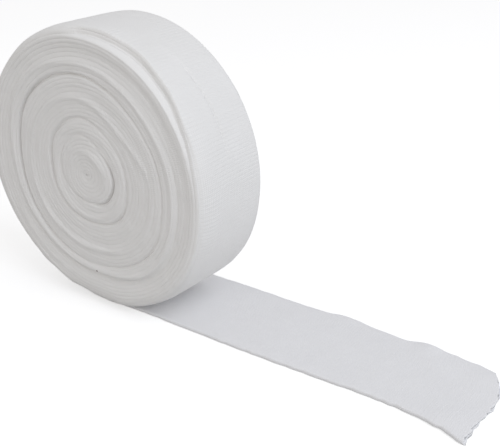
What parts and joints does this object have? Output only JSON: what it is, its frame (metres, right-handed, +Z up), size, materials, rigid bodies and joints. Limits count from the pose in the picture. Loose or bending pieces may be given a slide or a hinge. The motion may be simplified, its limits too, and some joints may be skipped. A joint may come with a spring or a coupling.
{
  "type": "tubular bandage roll",
  "caption": "Close-knitted tubular bandage, laid flat and wound into a roll standing on its rim, with a flat loose end running out from under it.",
  "frame": {"origin": "on the supporting surface, straight under the roll's axis, at mid-width of the roll", "axes": "+X along the loose end, away from the roll; +Y along the roll's axis, from its front face to its rear face; +Z up"},
  "size_m": [0.2742, 0.0616, 0.1453],
  "materials": {
    "knitted_tube": "matt, finely ribbed white knit"
  },
  "bodies": {
    "root": {"wound_roll": "knitted_tube", "loose_end": "knitted_tube"}
  },
  "joints": []
}
